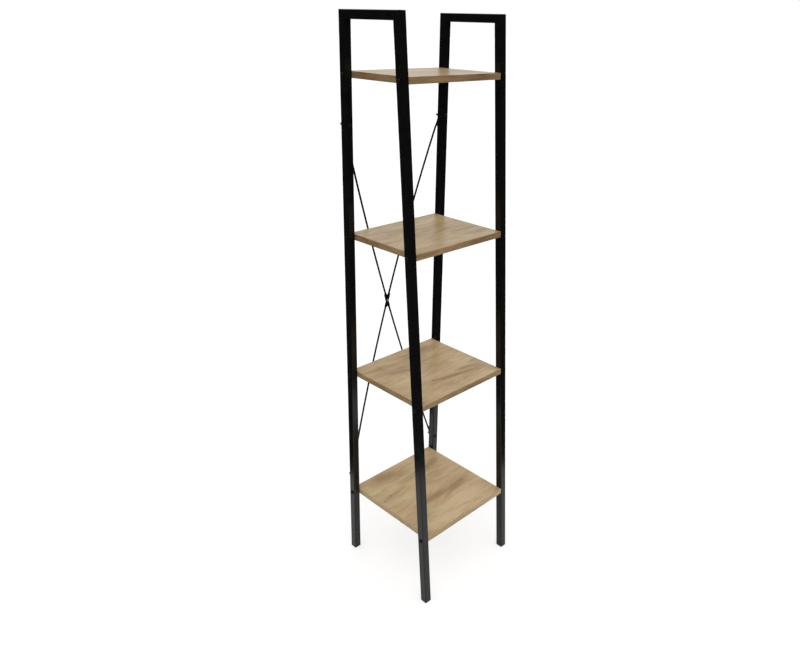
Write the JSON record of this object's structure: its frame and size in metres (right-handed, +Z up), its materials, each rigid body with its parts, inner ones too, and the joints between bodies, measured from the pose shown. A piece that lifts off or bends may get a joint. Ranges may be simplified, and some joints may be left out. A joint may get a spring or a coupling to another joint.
{
  "type": "ladder shelving unit",
  "caption": "Tall free-standing ladder shelf: black square-tube side frames with sloping front posts, oak boards that get shallower upwards and crossed brace rods at the back.",
  "frame": {"origin": "on the floor, in the middle of the width, and halfway between the front feet and the furthest point of the brace behind the back posts", "axes": "+Z up, +X to the right seen from the front, -Y to the front, where the posts slope"},
  "size_m": [0.3466, 0.3556, 1.48],
  "materials": {
    "frame_paint": "satin black powder coat",
    "brace_paint": "satin black paint",
    "board": "light oak decor, matt",
    "banding": "light oak decor, matt",
    "fastener": "black zinc",
    "crossing_fastener": "bright zinc",
    "insert": "zinc plated",
    "foot_plastic": "black moulded plastic"
  },
  "bodies": {
    "root": {"left_front_post": "frame_paint", "left_back_post": "frame_paint", "left_top_bar": "frame_paint", "left_front_foot": "foot_plastic", "left_back_foot": "foot_plastic", "right_front_post": "frame_paint", "right_back_post": "frame_paint", "right_top_bar": "frame_paint", "right_front_foot": "foot_plastic", "right_back_foot": "foot_plastic", "bottom_shelf_board": "board", "bottom_shelf_banding": "banding", "bottom_shelf_bolts": "fastener", "bottom_shelf_inserts": "insert", "lower_shelf_board": "board", "lower_shelf_banding": "banding", "lower_shelf_bolts": "fastener", "lower_shelf_inserts": "insert", "upper_shelf_board": "board", "upper_shelf_banding": "banding", "upper_shelf_bolts": "fastener", "upper_shelf_inserts": "insert", "top_shelf_board": "board", "top_shelf_banding": "banding", "top_shelf_bolts": "fastener", "top_shelf_inserts": "insert", "rising_brace_rod": "brace_paint", "falling_brace_rod": "brace_paint", "brace_bolts": "fastener", "brace_nuts": "fastener", "crossing_screw": "crossing_fastener", "crossing_nut": "crossing_fastener"}
  },
  "joints": []
}
